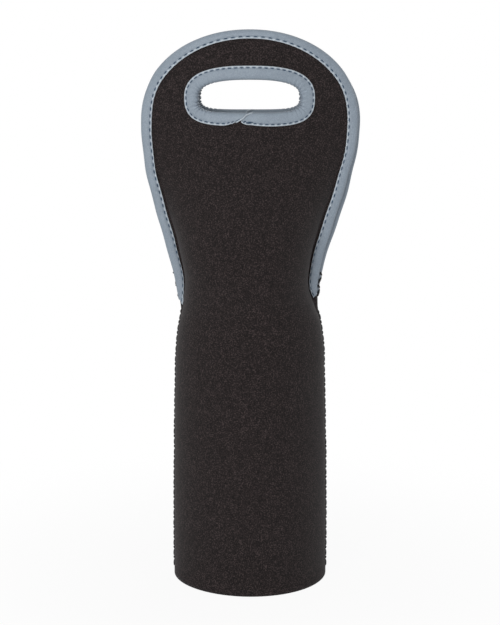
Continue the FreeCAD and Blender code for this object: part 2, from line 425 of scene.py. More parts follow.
def wall_point(form: CarrierForm, reach: float, z: float, skin: float) -> Vector:
    """Point of the front panel, whose section stays the same from its widest place up.

    Args:
        form: sizes of the carrier.
        reach: distance along the wall from the middle of the panel, to the right.
        z: level.
        skin: distance out from the middle of the wall.

    Returns:
        The point.
    """
    spot = bow_at(form, min(z, form.widest_z)).at(reach, skin)
    return Vector((spot.x, spot.y, z))


@dataclass
class BoundEdge:
    """A cut edge of the foam that tape goes over, as places along its running length."""

    form: CarrierForm
    samples: int = 900
    track: list[tuple[float, float]] = field(default_factory=list)

    def section(self, share: float) -> Place:
        """Places across the edge at a share of the way along it."""
        raise NotImplementedError

    def measure(self, inward: float) -> float:
        """Walk along the edge and keep the running length.

        Args:
            inward: distance in from the edge at which the length counts.

        Returns:
            The whole length.
        """
        shares = spaced(0.0, 1.0, self.samples)
        spots = [self.section(share)(inward, 0.0) for share in shares]
        self.track = [(0.0, 0.0)]
        for last, spot, share in zip(spots, spots[1:], shares[1:]):
            self.track.append((self.track[-1][0] + (spot - last).length, share))
        return self.track[-1][0]

    def share_at(self, length: float) -> float:
        """Share of the way along the edge.

        Args:
            length: running length, which may lie a little past the edge's ends.

        Returns:
            The share, from 0 to 1 between the ends.
        """
        index = min(max(bisect(self.track, (length, 0.0)), 1), len(self.track) - 1)
        (length_a, share_a), (length_b, share_b) = self.track[index - 1:index + 1]
        return share_a + (share_b - share_a) * (length - length_a) / (length_b - length_a)

    def outlined(self, outline: Callable[[float], Vector], turn: float, outward: int) -> Place:
        """Places across a rounded outline on the upper, evenly curved part of the flap.

        Args:
            outline: gives the outline's point in a direction.
            turn: direction.
            outward: 1 where the foam lies outside the outline, -1 where it lies inside.

        Returns:
            The places.
        """
        step = math.pi / self.samples
        run = outline(turn + step) - outline(turn - step)
        across = Vector((run.z, 0, -run.x)).normalized() * outward
        point = outline(turn)
        reach = bow_at(self.form, self.form.widest_z).reach_at(point.x)

        def place(inward: float, skin: float) -> Vector:
            """Point across the outline."""
            return wall_point(self.form, reach + across.x * inward, point.z + across.z * inward, skin)

        return place


@dataclass
class FlapEdge(BoundEdge):
    """Edge of a flap, from the tape's lower left end over the crown and down the right side."""

    side_share: float = 0.25

    def section(self, share: float) -> Place:
        """Places across the edge.

        Args:
            share: share of the way along the edge.

        Returns:
            The places.
        """
        form = self.form
        if self.side_share <= share <= 1 - self.side_share:
            turn = math.pi * (1 - (share - self.side_share) / (1 - 2 * self.side_share))
            return self.outlined(form.crown_point, turn, -1)
        climb = min(share, 1 - share) / self.side_share
        bow = bow_at(form, between(form.tail_z, form.widest_z, climb))
        hand = Hand.LEFT if share < self.side_share else Hand.RIGHT

        def place(inward: float, skin: float) -> Vector:
            """Point across the flap's side."""
            return bow.at(hand.value * (bow.length - inward), skin)

        return place


@dataclass
class GripEdge(BoundEdge):
    """Rim of the grip opening, from below its middle to the right and over the top."""

    def turn_at(self, share: float) -> float:
        """Direction from the opening's middle at a share of the way round it."""
        return share * 2 * math.pi - math.pi / 2

    def section(self, share: float) -> Place:
        """Places across the rim at a share of the way round it."""
        return self.outlined(self.form.rim_point, self.turn_at(share), 1)


def linear(code: str) -> tuple[float, ...]:
    """Scene colour of an sRGB hex code."""
    parts = [int(code[index:index + 2], 16) / 255 for index in (1, 3, 5)]
    return (*[p / 12.92 if p <= 0.04045 else ((p + 0.055) / 1.055) ** 2.4 for p in parts], 1.0)


class NodeGraph:
    """Shader nodes of a material or world."""

    def __init__(self, owner: Material | World) -> None:
        """Take up the owner's node tree.

        Args:
            owner: the material or world.
        """
        owner.use_nodes = True
        self.tree = owner.node_tree

    def feed(self, node: Node, inputs: dict) -> None:
        """Set a node's inputs.

        Args:
            node: the node.
            inputs: socket name or number to a value, or to the socket that feeds it.
        """
        for name, value in inputs.items():
            if isinstance(value, NodeSocket):
                self.tree.links.new(value, node.inputs[name])
            else:
                node.inputs[name].default_value = value

    def add(self, kind: str, inputs: dict, **settings) -> Node:
        """Add a node.

        Args:
            kind: node type, without the words that all shader nodes begin with.
            inputs: socket name or number to a value, or to the socket that feeds it.
            settings: properties of the node.

        Returns:
            The node.
        """
        node = self.tree.nodes.new("ShaderNode" + kind)
        for name, value in settings.items():
            setattr(node, name, value)
        self.feed(node, inputs)
        return node


class Surface(NodeGraph):
    """Material in the making, with the patterns that the finishes share."""

    def __init__(self, name: str) -> None:
        """Start the material.

        Args:
            name: name of the material.
        """
        self.material = bpy.data.materials.new(name)
        super().__init__(self.material)
        self.spot = self.add("TexCoord", {}).outputs["Object"]

    def noise(self, size: float, detail: float, roughness: float = 0.5) -> NodeSocket:
        """Noise whose spots have about the given size."""
        inputs = {"Vector": self.spot, "Scale": 1 / size, "Detail": detail, "Roughness": roughness}
        return self.add("TexNoise", inputs).outputs["Fac"]

    def mottle(self, coarse: NodeSocket, weight: float, fine: NodeSocket) -> NodeSocket:
        """Fine noise with a share of a coarse one added."""
        return self.add("Math", {0: coarse, 1: weight, 2: fine}, operation="MULTIPLY_ADD").outputs["Value"]

    def spread(self, value: NodeSocket, low: float, high: float) -> NodeSocket:
        """Value spread out so that low becomes 0 and high becomes 1."""
        return self.add("MapRange", {"Value": value, "From Min": low, "From Max": high}).outputs["Result"]

    def bump(self, height: NodeSocket, strength: float, depth: float) -> NodeSocket:
        """Grain that is felt, as a normal."""
        inputs = {"Height": height, "Strength": strength, "Distance": depth}
        return self.add("Bump", inputs).outputs["Normal"]

    def ramp(self, factor: NodeSocket, stops: Iterable[tuple[float, str]]) -> NodeSocket:
        """Colour ramp through sRGB hex colours.

        Args:
            factor: what runs along the ramp.
            stops: places from 0 to 1 with their colours.

        Returns:
            The colour socket.
        """
        node = self.add("ValToRGB", {"Fac": factor})
        elements = node.color_ramp.elements
        for index, (place, code) in enumerate(stops):
            element = elements[index] if index < len(elements) else elements.new(place)
            element.position = place
            element.color = linear(code)
        return node.outputs["Color"]

    def finish(self, inputs: dict) -> Material:
        """Set the shader's inputs and give the material."""
        self.feed(self.tree.nodes["Principled BSDF"], inputs)
        return self.material


@dataclass(frozen=True)
class KnitNeoprene:
    """Foam rubber faced with fine jersey knit: matt, with lighter loops and a grain that is felt."""

    dark: str = "#151212"
    middle: str = "#201b1b"
    light: str = "#483e3e"
    loop: float = 0.65 * MM
    loop_detail: float = 2.0
    loop_roughness: float = 0.6
    patch: float = 3.2 * MM
    patch_detail: float = 3.0
    patch_weight: float = 0.15
    dark_from: float = 0.40
    light_from: float = 0.75
    grain_height: float = 0.12 * MM
    grain_strength: float = 0.6
    roughness: float = 0.92
    specular: float = 0.18
    sheen: float = 0.085
    sheen_roughness: float = 0.5

    def make(self) -> Material:
        """Make the foam's finish.

        Returns:
            Material of the panels and the base.
        """
        knit = Surface("knit_faced_neoprene")
        loops = knit.noise(self.loop, self.loop_detail, self.loop_roughness)
        mottle = knit.mottle(knit.noise(self.patch, self.patch_detail), self.patch_weight, loops)
        shade = knit.spread(mottle, self.dark_from, self.light_from)
        return knit.finish({
            "Base Color": knit.ramp(shade, [(0.0, self.dark), (0.5, self.middle), (1.0, self.light)]),
            "Normal": knit.bump(loops, self.grain_strength, self.grain_height),
            "Roughness": self.roughness,
            "Specular IOR Level": self.specular,
            "Sheen Weight": self.sheen,
            "Sheen Roughness": self.sheen_roughness,
        })


@dataclass(frozen=True)
class WovenTape:
    """Polyester binding tape, closely woven and pressed: soft satin, with a painted highlight along its
    hems.
    """

    shade: str = "#828e9b"
    light: str = "#98a4b0"
    # Colour of the painted highlight where the folded hems catch the light.
    hem: str = "#bbc5ce"
    grain: float = 0.55 * MM
    grain_detail: float = 1.0
    cloud: float = 9.0 * MM
    cloud_detail: float = 2.0
    cloud_weight: float = 0.4
    shade_from: float = 0.4
    light_from: float = 1.0
    # The painted hem highlight is full up to the first distance from the hem and gone by the second.
    highlight_full: float = 0.30 * MM
    highlight_fade: float = 0.60 * MM
    grain_height: float = 0.05 * MM
    grain_strength: float = 0.5
    roughness: float = 0.6
    sheen: float = 0.1

    def make(self) -> Material:
        """Make the tape's finish.

        Returns:
            Material of the binding.
        """
        weave = Surface("woven_polyester_tape")
        grain = weave.noise(self.grain, self.grain_detail)
        mottle = weave.mottle(weave.noise(self.cloud, self.cloud_detail), self.cloud_weight, grain)
        shade = weave.spread(mottle, self.shade_from, self.light_from)
        face = weave.ramp(shade, [(0.0, self.shade), (1.0, self.light)])
        # Painted highlight: the face colour is mixed toward the hem highlight colour by each point's
        # distance from the hem.
        away = weave.add("Attribute", {}, attribute_name=HIGHLIGHT_LAYER).outputs["Fac"]
        line = weave.spread(away, self.highlight_fade, self.highlight_full)
        highlighted_face = weave.add("Mix", {"Factor": line, 6: face, 7: linear(self.hem)}, data_type="RGBA")
        return weave.finish({
            "Base Color": highlighted_face.outputs[2],
            "Normal": weave.bump(grain, self.grain_strength, self.grain_height),
            "Roughness": self.roughness,
            "Sheen Weight": self.sheen,
        })


@dataclass(frozen=True)
class SpunThread:
    """Spun polyester sewing thread: dull, with painted shade for the grooves between its twisted plies."""

    name: str
    # Darker colour: painted shade between the twisted plies.
    dark: str
    light: str
    ply: float = 0.4 * MM
    ply_detail: float = 1.0
    ply_shade_to: float = 0.35
    light_from: float = 0.65
    roughness: float = 0.7

    def make(self) -> Material:
        """Make the thread's finish.

        Returns:
            Material of rows of stitches.
        """
        yarn = Surface(self.name)
        # Painted shade: spots of the darker colour stand for the shade between the plies.
        ply_shade = yarn.noise(self.ply, self.ply_detail)
        colour = yarn.ramp(ply_shade, [(self.ply_shade_to, self.dark), (self.light_from, self.light)])
        return yarn.finish({"Base Color": colour, "Roughness": self.roughness})


@dataclass(frozen=True)
class Finish:
    """A material with the record's slot that it stands for."""

    material: Material
    slot: str


@dataclass(frozen=True)
class Finishes:
    """The carrier's finishes."""

    foam: Finish
    tape: Finish
    thread: Finish
    seam_thread: Finish


def new_piece(name: str, bm: BMesh, finish: Finish) -> Object:
    """Turn a finished bmesh into a smooth-shaded piece.

    Args:
        name: name of the piece.
        bm: the mesh, which is freed.
        finish: finish of the piece.

    Returns:
        The piece, with its place in its mesh.
    """
    bmesh.ops.recalc_face_normals(bm, faces=bm.faces[:])
    mesh = bpy.data.meshes.new(name)
    bm.to_mesh(mesh)
    bm.free()
    mesh.materials.append(finish.material)
    for polygon in mesh.polygons:
        polygon.use_smooth = True
    piece = bpy.data.objects.new(name, mesh)
    bpy.context.scene.collection.objects.link(piece)
    LOG.info("%s: %d faces", name, len(mesh.polygons))
    return piece


def fasten(piece: Object, body: str, node: str) -> None:
    """Let a piece move with a body, in the place of a CAD node."""
    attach(piece, body)
    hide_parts(node)


def grid(bm: BMesh, columns: int, rows: int, spot: Callable[[int, int], Vector]) -> list[Corner]:
    """Lay a grid of quads and carry each of its corners to its place.

    Args:
        bm: mesh that takes the grid.
        columns: number of quads across.
        rows: number of quads up.
        spot: gives the place of the corner in a column and row.

    Returns:
        The grid's corners, each with its column and row.
    """
    corners = []
    for vert in bmesh.ops.create_grid(bm, x_segments=columns, y_segments=rows, size=1.0)["verts"]:
        column = round((vert.co.x + 1) / 2 * columns)
        row = round((vert.co.y + 1) / 2 * rows)
        vert.co = spot(column, row)
        corners.append((vert, column, row))
    return corners


def thicken(bm: BMesh, wall: float, out: Vector, near: Vector) -> None:
    """Give an open sheet its thickness, inward from the face that it shows.

    Args:
        bm: mesh of the outer face.
        wall: thickness.
        out: direction that the outer face looks in.
        near: place where it looks that way.
    """
    bmesh.ops.recalc_face_normals(bm, faces=bm.faces[:])
    face = min(bm.faces, key=lambda item: (item.calc_center_median() - near).length)
    if face.normal.dot(out) < 0:
        bmesh.ops.reverse_faces(bm, faces=bm.faces[:])
    bmesh.ops.solidify(bm, geom=bm.faces[:], thickness=wall)


def add_stitch(bm: BMesh, start: Vector, end: Vector, out: Vector, width: float, height: float) -> None:
    """Lay one bulging stitch between two points.

    Args:
        bm: mesh that takes it.
        start: one end.
        end: other end.
        out: direction away from what it lies on.
        width: width of the thread.
        height: height of the thread.
    """
    ahead = (end - start).normalized()
    beside = out.cross(ahead).normalized()
    up = ahead.cross(beside).normalized()
    size = Matrix.Diagonal(Vector(((end - start).length / 2, width / 2, height / 2, 1.0)))
    turn = Matrix((ahead, beside, up)).transposed().to_4x4()
    place = Matrix.Translation((start + end) / 2)
    bmesh.ops.create_uvsphere(
        bm, u_segments=STITCH_SIDES, v_segments=STITCH_RINGS, radius=1.0, matrix=place @ turn @ size)


@dataclass
class Half:
    """Front or back half of the carrier: its foam panel, its tapes and their stitches."""

    form: CarrierForm
    side: Side
    finishes: Finishes
    back_spread: float = 1.6 * MM
    back_parting: float = 2.8 * MM
    stand_from: float = 20.0 * MM
    stand_run: float = 25.0 * MM
    stand_start: float = 190.0 * MM
    stand_rise: float = 45.0 * MM
    stand_end: float = 285.0 * MM
    stand_fall: float = 30.0 * MM
    blend_start: float = 170.0 * MM
    blend_end: float = 240.0 * MM

    def set_side(self, bm: BMesh) -> None:
        """Carry a mesh made for the front to this half.

        The back flap doesn't lean, and stands off a little on the right.

        Args:
            bm: the mesh.
        """
        if self.side is Side.FRONT:
            return
        for vert in bm.verts:
            x, y, z = vert.co
            stand = ease((x - self.stand_from) / self.stand_run)
            stand *= ease((z - self.stand_start) / self.stand_rise)
            stand *= 1 - ease((z - self.stand_end) / self.stand_fall)
            x += self.back_spread * stand - self.form.sway(z)
            vert.co = Vector((x, self.back_parting * stand - y, z))

    def build(self) -> None:
        """Build the half's pieces in order."""
        form, label, flap = self.form, self.side.label, self.side.flap_body
        edge = EdgeTape(form, self, FlapEdge(form), form.edge_reach)
        grip = GripTape(form, self, GripEdge(form), form.grip_reach)
        for piece, nodes in (
            (FoamPanel(form, self).build(label + "_panel"), ("_pouch_panel", "_handle_flap")),
            (edge.build(label + "_edge_tape"), ("_edge_binding", "_binding_tails")),
            (edge.build_stitches(label + "_edge_stitches"), ("_edge_stitching",)),
        ):
            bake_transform(piece)
            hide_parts(*(label + node for node in nodes))
        fasten(grip.build(label + "_grip_tape"), flap, label + "_grip_binding")
        fasten(grip.build_stitches(label + "_grip_stitches"), flap, label + "_grip_stitching")


@dataclass
class FoamPanel:
    """One keyhole-shaped foam panel, from the base to the top of its flap."""

    form: CarrierForm
    half: Half
    columns: int = 64
    rows: int = 124
    side_columns: int = 13
    crown_columns: int = 86
    crown_rows: int = 16
    crown_foot: float = 258.0 * MM
    edge_crowding: float = 0.88
    bound_trim: float = 1.0 * MM
    rim_trim: float = 1.6 * MM
    weld: float = 0.02 * MM
    flat_samples: int = 200

    def column_share(self, column: int) -> float:
        """Place of a column across the panel, from -1 to 1, with the columns closest at the edges."""
        share = 2 * column / self.columns - 1
        return share + self.edge_crowding * math.sin(math.pi * share) / math.pi

    def edge_reach(self, z: float) -> float:
        """Distance from the panel's middle to its side edge, a little less where tape is folded round it."""
        trim = self.bound_trim * ease((z - self.form.tail_z - self.form.lip_rise) / self.form.lip_run)
        return bow_at(self.form, z).length - trim

    def strip_point(self, column: int, row: int) -> Vector:
        """Point of the outer face of the pouch and of the flap's lower part.

        Args:
            column: column of the grid.
            row: row of the grid.

        Returns:
            The point.
        """
        z = self.crown_foot * row / self.rows
        share = self.column_share(column)
        skin = self.form.skin + self.form.foot_swell(share, z)
        return wall_point(self.form, share * self.edge_reach(z), z, skin)

    def unrolled(self, point: Vector) -> Vector:
        """Point of the upper flap in the plane of reach and level."""
        return Vector((bow_at(self.form, self.form.widest_z).reach_at(point.x), 0, point.z))

    def crown_loop(self) -> list[Vector]:
        """Outline of the flap's upper part in the plane of reach and level.

        Returns:
            Points along the foot of that part from the left, and back over the crown.
        """
        form, low = self.form, self.crown_foot
        reach = self.edge_reach(low)
        foot = [Vector((self.column_share(column) * reach, 0, low)) for column in range(self.columns + 1)]
        rises = spaced(low, form.widest_z, self.side_columns + 1)[1:-1]
        right = [Vector((self.edge_reach(z), 0, z)) for z in rises]
        turns = spaced(0.0, math.pi, self.crown_columns + 1)
        over = [self.unrolled(form.crown_point(turn, self.bound_trim)) for turn in turns]
        left = [Vector((-spot.x, 0, spot.z)) for spot in reversed(right)]
        return foot + right + over + left

    def rim_loop(self, crown: list[Vector]) -> list[Vector]:
        """Points of the grip opening's rim in the plane of reach and level.

        Args:
            crown: outline of the flap's upper part.

        Returns:
            A point in the direction of each one on the outline.
        """
        form = self.form
        loop = []
        for spot in crown:
            turn = math.atan2((spot.z - form.grip_z) / form.grip_rise, spot.x / form.grip_half)
            away = Vector((math.cos(turn), 0, math.sin(turn))) * self.rim_trim
            loop.append(self.unrolled(form.rim_point(turn)) + away)
        return loop

    def flat_size(self) -> tuple[float, float, float]:
        """Size of the flat cut.

        Returns:
            Width, length and area.
        """
        form, count = self.form, self.flat_samples
        levels = spaced(0.0, form.widest_z, count)
        area = sum(2 * bow_at(form, z).length * levels[1] for z in levels[:-1])
        widest = bow_at(form, form.widest_z).length
        turns = spaced(0.0, math.pi, count)
        area += area_under([rounded(widest, form.crown_height, form.crown_fullness, turn) for turn in turns])
        area -= area_under([form.rim_point(turn) for turn in spaced(0.0, 2 * math.pi, count)])
        return 2 * bow_at(form, 0.0).length, form.widest_z + form.crown_height, area

    def build(self, name: str) -> Object:
        """Build the panel.

        Args:
            name: name of the piece.

        Returns:
            The panel, as a sheet.
        """
        form = self.form
        bm = bmesh.new()
        grid(bm, self.columns, self.rows, self.strip_point)
        crown = self.crown_loop()
        rim = self.rim_loop(crown)
        count = len(crown)

        def upper_point(column: int, row: int) -> Vector:
            """Point of the outer face of the flap's upper part."""
            spot = rim[column % count].lerp(crown[column % count], row / self.crown_rows)
            return wall_point(form, spot.x, spot.z, form.skin)

        grid(bm, count, self.crown_rows, upper_point)
        bmesh.ops.remove_doubles(bm, verts=bm.verts[:], dist=self.weld)
        thicken(bm, form.wall, Vector((0, -1, 0)), Vector((0, -form.pouch_half, form.pouch_height)))
        self.half.set_side(bm)
        piece = new_piece(name, bm, self.half.finishes.foam)
        width, length, area = self.flat_size()
        return piece


@dataclass
class Binding:
    """Tape folded over a cut edge of the foam and sewn through near both of its hems.

    Its methods take a running length along the tape, and a depth that is 0 at the hem and 1 at the fold.
    """

    form: CarrierForm
    half: Half
    edge: BoundEdge
    reach: float
    pitch: float = 4.1 * MM
    columns_per_stitch: int = 8
    cloth: float = 0.7 * MM
    stitch_inset: float = 1.15 * MM
    stitch_length: float = 2.4 * MM
    stitch_width: float = 0.7 * MM
    stitch_height: float = 0.5 * MM
    hem_press: float = 0.4 * MM
    hem_width: float = 1.4 * MM
    press_swing: float = 0.25
    groove: float = 0.3 * MM
    groove_width: float = 0.45 * MM
    groove_swing: float = 0.35
    puff: float = 0.25 * MM
    # How much wider the painted hem highlight is between the stitches.
    highlight_scallop: float = 0.6 * MM
    hem_rungs_mm: tuple[float, ...] = (0.0, 0.3, 0.6, 0.9, 1.15, 1.4, 1.8)
    leg_rungs: int = 5
    fold_rungs: int = 9
    top_looks: tuple[int, int, int] = (0, 0, 1)
    length: float = 0.0
    start: float = 0.0
    stop: float = 0.0
    stitches: int = 0

    def __post_init__(self) -> None:
        """Measure the edge along the stitches, place the tape's ends and space the stitches."""
        self.length = self.edge.measure(self.reach - self.stitch_inset)
        self.start, self.stop = self.ends()
        self.stitches = round((self.stop - self.start) / self.pitch)

    def ends(self) -> tuple[float, float]:
        """Running lengths of the tape's two ends."""
        return 0.0, self.length

    def reach_at(self, run: float) -> float:
        """Distance from the foam's edge to the hem."""
        return self.reach

    def slip(self, run: float, depth: float) -> float:
        """How far a slanted end moves along."""
        return 0.0

    def lift(self, run: float, depth: float) -> float:
        """How far the tape stands off where its ends lie on each other."""
        return 0.0

    def crease(self, run: float) -> float:
        """Depth of the pleats."""
        return 0.0

    def phase(self, run: float) -> float:
        """Where a running length lies in the row of stitches, -1 on a stitch and 1 between two."""
        return math.cos(2 * math.pi * (run - self.start) * self.stitches / (self.stop - self.start))

    def highlight_distance(self, run: float, line: float) -> float:
        """Distance from the painted highlight along the hem, which is painted wider between the stitches,
        where the tape swells.
        """
        return line - self.highlight_scallop * max(self.phase(run), 0.0)

    def rungs(self, reach: float) -> list[tuple[float, float]]:
        """Places across the tape.

        Args:
            reach: distance from the foam's edge to the hem.

        Returns:
            For each place, its distance from the nearer hem and its turn round the fold.
        """
        leg = reach - self.form.skin
        squeeze = min(1.0, leg / (2 * self.hem_rungs_mm[-1] * MM))
        lines = [rung * MM * squeeze for rung in self.hem_rungs_mm]
        lines += spaced(lines[-1], leg, self.leg_rungs)[1:]
        front = [(line, 0.0) for line in lines]
        fold = [(leg, turn) for turn in spaced(0.0, math.pi, self.fold_rungs)[1:-1]]
        back = [(line, math.pi) for line in reversed(lines)]
        return front + fold + back

    def surface(self, run: float, line: float, turn: float) -> Vector:
        """Point of the tape's outer face.

        Args:
            run: running length along the tape.
            line: distance from the hem.
            turn: turn round the fold, 0 on the front leg and a half turn on the back leg.

        Returns:
            The point.
        """
        form = self.form
        reach = self.reach_at(run)
        depth = (line + form.tape_outside * math.sin(turn)) / (reach + form.tape_tip)
        phase = self.phase(run)
        press = self.hem_press * bell(line / self.hem_width) * (1 - self.press_swing * phase)
        dip = self.groove * bell((line - self.stitch_inset) / self.groove_width)
        dip *= 1 - self.groove_swing * (1 + phase)
        puff = self.puff * math.sin(math.pi * depth)
        fold = form.tape_outside + self.lift(run, depth) - self.crease(run) * depth * depth
        bend = rounded(fold - press - dip + puff, fold, form.fold_fullness, turn)
        inward = form.skin - bend.z if 0.0 < turn < math.pi else reach - line
        share = self.edge.share_at(run + self.slip(run, depth))
        return self.edge.section(share)(inward, bend.x)

    def build(self, name: str) -> Object:
        """Build the tape.

        Args:
            name: name of the piece.

        Returns:
            The tape, as a folded sheet.
        """
        columns = self.stitches * self.columns_per_stitch
        runs = spaced(self.start, self.stop, columns + 1)
        rungs = [self.rungs(self.reach_at(run)) for run in runs]
        bm = bmesh.new()
        # Layer for the painted hem highlight: each corner keeps its distance from it.
        away = bm.verts.layers.float.new(HIGHLIGHT_LAYER)

        def face_point(column: int, row: int) -> Vector:
            """Corner of the tape's outer face."""
            return self.surface(runs[column], *rungs[column][row])

        for vert, column, row in grid(bm, columns, len(rungs[0]) - 1, face_point):
            vert[away] = self.highlight_distance(runs[column], rungs[column][row][0])
        crown = max((vert.co for vert in bm.verts), key=lambda spot: spot.z)
        thicken(bm, self.cloth, Vector(self.top_looks), crown)
        self.half.set_side(bm)
        piece = new_piece(name, bm, self.half.finishes.tape)
        width = 2 * (self.reach - self.form.skin) + math.pi * self.form.tape_outside
        return piece

    def stitch_runs(self) -> list[tuple[float, float]]:
        """Middle of each stitch as a running length and a distance from the hem."""
        step = (self.stop - self.start) / self.stitches
        return [(self.start + (index + 0.5) * step, self.stitch_inset) for index in range(self.stitches)]

    def build_stitches(self, name: str) -> Object:
        """Build the row of stitches on both faces of the tape.

        Args:
            name: name of the piece.

        Returns:
            The row.
        """
        bm = bmesh.new()
        half = self.stitch_length / 2
        for run, line in self.stitch_runs():
            for turn in (0.0, math.pi):
                start, end = self.surface(run - half, line, turn), self.surface(run + half, line, turn)
                beside = self.surface(run, line + self.stitch_width, turn) - self.surface(run, line, turn)
                add_stitch(bm, start, end, beside.cross(end - start), self.stitch_width, self.stitch_height)
        self.half.set_side(bm)
        return new_piece(name, bm, self.half.finishes.thread)


@dataclass
class EdgeTape(Binding):
    """Tape over the edge of a flap, from its lower left end over the crown to its lower right end."""

    crown_from: float = 0.2
    crown_run: float = 0.1
    crown_widening: float = 0.9 * MM
    top_from: float = 0.25
    top_narrowing: float = 2.3 * MM
    top_focus: int = 4
    foot_run: float = 0.2
    foot_widening: float = 0.8 * MM
    left_slant: float = 3.4 * MM
    left_drop: float = 1.1 * MM
    left_run: float = 10.0 * MM
    right_gap: float = 2.5 * MM
    right_slant: float = 2.5 * MM
    right_run: float = 7.0 * MM
    right_reach: float = 3.2 * MM

    def ends(self) -> tuple[float, float]:
        """Running lengths of the tape's two ends, the right one a little higher."""
        return 0.0, self.length - self.right_gap

    def reach_at(self, run: float) -> float:
        """Distance from the foam's edge to the hem: least at the crown, drawn to a point at the right end.

        Args:
            run: running length along the tape.

        Returns:
            The distance.
        """
        along = min(run, self.length - run) / self.length
        crown = self.crown_widening * ease((along - self.crown_from) / self.crown_run)
        top = self.top_narrowing * math.sin(2 * math.pi * max(along - self.top_from, 0.0)) ** self.top_focus
        foot = self.foot_widening * ease(1 - along / self.foot_run)
        return eased(self.right_reach, self.reach + crown - top + foot, (self.stop - run) / self.right_run)

    def slip(self, run: float, depth: float) -> float:
        """Slanted cut of both ends, lowest at the hem."""
        left, right = 1 - ease(run / self.left_run), 1 - ease((self.stop - run) / self.right_run)
        return (self.left_slant * depth - self.left_drop) * left - self.right_slant * depth * right


@dataclass
class GripTape(Binding):
    """Tape over the rim of the grip opening, its ends lapped on a slant below the middle."""

    edge: GripEdge
    pitch: float = 3.4 * MM
    top_looks: tuple[int, int, int] = (0, -1, 0)
    under_x: float = -9.0 * MM
    lap_hem_x: float = -6.9 * MM
    lap_fold_x: float = 1.6 * MM
    lap_run: float = 12.5 * MM
    lap_lift: float = 0.4 * MM
    lift_hold: int = 4
    end_roll: float = 0.8 * MM
    end_roll_run: float = 1.2 * MM
    # Painted highlight along the folded end of the upper lap: its width there, and how fast it fades along
    # the tape.
    end_highlight: float = 0.175 * MM
    end_highlight_fade: float = 1.6
    right_rise: float = 2.4 * MM
    right_rise_run: float = 24.0 * MM
    left_rise: float = 1.6 * MM
    left_rise_run: float = 14.0 * MM
    foot_narrowing: float = 0.1 * MM
    left_narrowing: float = 0.4 * MM
    corner_round: float = 1.3 * MM
    corner_run: float = 3.5 * MM
    pleat_pitch: float = 3.2 * MM
    pleat_depth: float = 1.3 * MM
    pleat_from: float = 15.0 * MM
    pleat_full: float = 29.0 * MM
    slack_pleat: float = 0.6
    tacks: int = 4
    tack_start: float = 2.55 * MM
    tack_pitch: float = 1.7 * MM
    tack_insets: tuple[float, float] = (0.92 * MM, 1.725 * MM)

    def ends(self) -> tuple[float, float]:
        """Running lengths of the tape's two ends, the first under the second."""
        return self.under_x, self.length + (self.lap_hem_x + self.lap_fold_x) / 2

    def rim_at(self, run: float) -> Vector:
        """Point of the rim at a running length."""
        return self.form.rim_point(self.edge.turn_at(self.edge.share_at(run)))

    def reach_at(self, run: float) -> float:
        """Distance from the foam's edge to the hem, drawn up on both sides of the lap.

        Args:
            run: running length along the tape.

        Returns:
            The distance.
        """
        low = ease((self.form.grip_z - self.rim_at(run).z) / self.form.grip_drop)
        reach = self.reach - self.foot_narrowing * low
        if run < self.length / 2:
            near = max(1 - (run - self.start) / self.right_rise_run, 0.0)
            return reach - self.right_rise * near * near
        rise = self.left_rise * ease(1 - (self.stop - run) / self.left_rise_run)
        corner = self.corner_round * max(1 - (self.stop - run) / self.corner_run, 0.0) ** 2
        return reach - self.left_narrowing * low - rise - corner

    def slip(self, run: float, depth: float) -> float:
        """Slanted fold of the end that lies on top."""
        fade = 1 - ease((self.stop - run) / self.lap_run)
        return (self.lap_fold_x - self.lap_hem_x) * (depth - 0.5) * fade

    def lift(self, run: float, depth: float) -> float:
        """How far the upper end stands off, with its rolled edge, and the lower one is pressed in.

        Args:
            run: running length along the tape.
            depth: 0 at the hem, 1 at the fold.

        Returns:
            Distance out from the tape's even form.
        """
        upper = 1 - ease((self.stop - run - self.lap_run / 2) / self.lap_run)
        roll = 1 - ease((self.stop - run) / self.end_roll_run)
        lower = 1 - ease((run - self.lap_fold_x) / self.lap_run)
        return (self.lap_lift * (upper - lower) + self.end_roll * roll) * (1 - depth ** self.lift_hold)

    def crease(self, run: float) -> float:
        """Depth of the pleats, which gather where the rim turns tightly.

        Args:
            run: running length along the tape.

        Returns:
            The depth.
        """
        rim = self.rim_at(run)
        gather = ease((abs(rim.x) - self.pleat_from) / (self.pleat_full - self.pleat_from))
        weight = 1.0 if rim.x < 0 and rim.z < self.form.grip_z else self.slack_pleat
        fold = 1 - abs(math.sin(math.pi * run / self.pleat_pitch))
        return self.pleat_depth * weight * gather * fold * fold

    def highlight_distance(self, run: float, line: float) -> float:
        """Distance from the painted highlight along the hem, or along the folded end where its rolled edge
        catches the light.
        """
        return min(super().highlight_distance(run, line), self.end_highlight + self.end_highlight_fade * (self.stop - run))

    def stitch_runs(self) -> list[tuple[float, float]]:
        """Middle of each stitch, with the tacks that fasten the lap among them.

        Returns:
            Running lengths and distances from the hem.
        """
        runs = [spot for spot in super().stitch_runs() if spot[0] > self.lap_hem_x]
        for index in range(self.tacks):
            run = self.lap_hem_x + self.tack_start + index * self.tack_pitch
            runs.append((run, self.tack_insets[index % 2]))
        return runs


@dataclass(frozen=True)
class ZigzagRow:
    """A row of zigzag thread: its names, its levels, its span from front to back and what it lies on."""

    piece: str
    node: str
    low: float
    high: float
    span: float
    outside: Callable[[Bow], float]


